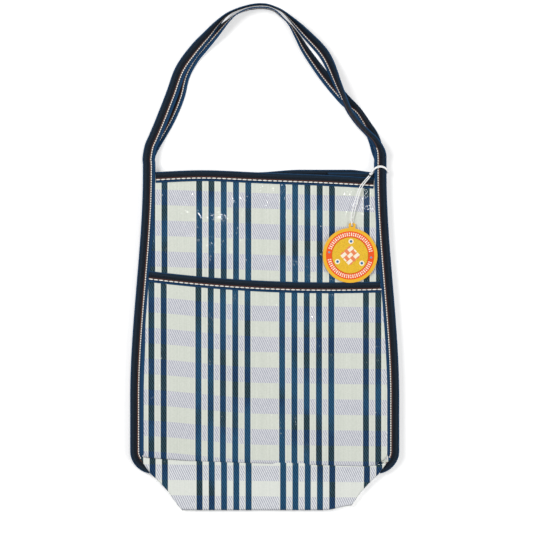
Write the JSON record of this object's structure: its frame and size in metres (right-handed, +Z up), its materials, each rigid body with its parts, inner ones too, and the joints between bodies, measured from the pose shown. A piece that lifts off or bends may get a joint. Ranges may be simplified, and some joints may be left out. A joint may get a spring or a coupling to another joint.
{
  "type": "folded shoulder sack",
  "caption": "Striped woven-plastic gusseted shoulder sack with a front pocket, tape handles and a hang tag, folded flat on its back.",
  "frame": {"origin": "centre of the bounding box on the surface that the folded sack lies on", "axes": "+X across the sack to its right as seen from above, +Y from the bottom fold to the handles, +Z up from the surface"},
  "size_m": [0.307, 0.578, 0.0201],
  "materials": {
    "front_weave": "woven plastic strip with a glossy film, blue stripes",
    "pocket_weave": "woven plastic strip with a glossy film, blue stripes",
    "back_weave": "woven plastic strip with a glossy film, blue stripes",
    "gusset_weave": "woven plastic strip with a glossy film, blue stripes",
    "bottom_weave": "woven plastic strip with a glossy film, blue stripes",
    "binding_tape": "black and navy woven tape, cream stitching",
    "handle_tape": "black and navy woven tape, doubled and stitched",
    "card": "matt printed card",
    "string": "white twisted cotton string"
  },
  "bodies": {
    "back_wall": {"back_panel": "back_weave", "back_left_tape": "binding_tape", "back_right_tape": "binding_tape", "back_top_binding": "binding_tape"},
    "left_gusset_back": {"left_gusset_back": "gusset_weave", "left_gusset_back_binding": "binding_tape"},
    "left_gusset_front": {"left_gusset_front": "gusset_weave", "left_gusset_front_binding": "binding_tape"},
    "right_gusset_back": {"right_gusset_back": "gusset_weave", "right_gusset_back_binding": "binding_tape"},
    "right_gusset_front": {"right_gusset_front": "gusset_weave", "right_gusset_front_binding": "binding_tape"},
    "bottom_back": {"bottom_back": "bottom_weave"},
    "bottom_front": {"bottom_front": "bottom_weave"},
    "front_wall": {"front_panel": "front_weave", "front_left_tape": "binding_tape", "front_right_tape": "binding_tape", "front_top_binding": "binding_tape", "pocket_panel": "pocket_weave", "pocket_binding": "binding_tape", "string_loop": "string", "string_knot": "string"},
    "front_handle": {"front_handle": "handle_tape"},
    "back_handle": {"back_handle": "handle_tape"},
    "tag_on_string": {"tag_string": "string", "tag": "card"}
  },
  "joints": [
    {"name": "side_unfold", "type": "hinge", "parent": "back_wall", "child": "left_gusset_back", "pos_m": [-0.143, -0.23303, 0.00305], "axis": [-0.0439, -0.999, 0], "range_deg": [0, 87.5]},
    {"name": "left_gusset_fold", "type": "hinge", "parent": "left_gusset_back", "child": "left_gusset_front", "pos_m": [-0.08711, -0.23548, 0.00549], "axis": [-0.0439, -0.999, 0], "range_deg": [-175, 0]},
    {"name": "front_wall_lift", "type": "hinge", "parent": "left_gusset_front", "child": "front_wall", "pos_m": [-0.143, -0.23303, 0.00794], "axis": [-0.0439, -0.999, 0], "range_deg": [0, 87.5]},
    {"name": "right_gusset_unfold", "type": "hinge", "parent": "back_wall", "child": "right_gusset_back", "pos_m": [0.143, -0.23303, 0.00305], "axis": [-0.0439, 0.999, 0], "range_deg": [0, 87.5]},
    {"name": "right_gusset_fold", "type": "hinge", "parent": "right_gusset_back", "child": "right_gusset_front", "pos_m": [0.08711, -0.23548, 0.00549], "axis": [-0.0439, 0.999, 0], "range_deg": [-175, 0]},
    {"name": "bottom_unfold", "type": "hinge", "parent": "back_wall", "child": "bottom_back", "pos_m": [0, -0.23303, 0.00305], "axis": [-1, 0, 0], "range_deg": [0, 87.5]},
    {"name": "bottom_fold", "type": "hinge", "parent": "bottom_back", "child": "bottom_front", "pos_m": [0, -0.28897, 0.00549], "axis": [-1, 0, 0], "range_deg": [-175, 0]},
    {"name": "front_handle_lift", "type": "hinge", "parent": "front_wall", "child": "front_handle", "pos_m": [0, 0.10627, 0.01029], "axis": [1, 0, 0], "range_deg": [0, 130]},
    {"name": "back_handle_lift", "type": "hinge", "parent": "back_wall", "child": "back_handle", "pos_m": [0, 0.10627, 0.0021], "axis": [1, 0, 0], "range_deg": [0, 65]},
    {"name": "tag_swing", "type": "hinge", "parent": "front_wall", "child": "tag_on_string", "pos_m": [0.1206, 0.09447, 0.0131], "axis": [0, 0, 1], "range_deg": [-30, 25]}
  ],
  "couplings": [
    {"joint": "left_gusset_fold", "follows": "side_unfold", "ratio": -2},
    {"joint": "front_wall_lift", "follows": "side_unfold", "ratio": 1},
    {"joint": "right_gusset_unfold", "follows": "side_unfold", "ratio": 1},
    {"joint": "right_gusset_fold", "follows": "side_unfold", "ratio": -2},
    {"joint": "bottom_unfold", "follows": "side_unfold", "ratio": 1},
    {"joint": "bottom_fold", "follows": "side_unfold", "ratio": -2},
    {"joint": "back_handle_lift", "follows": "front_handle_lift", "ratio": 0.5}
  ]
}
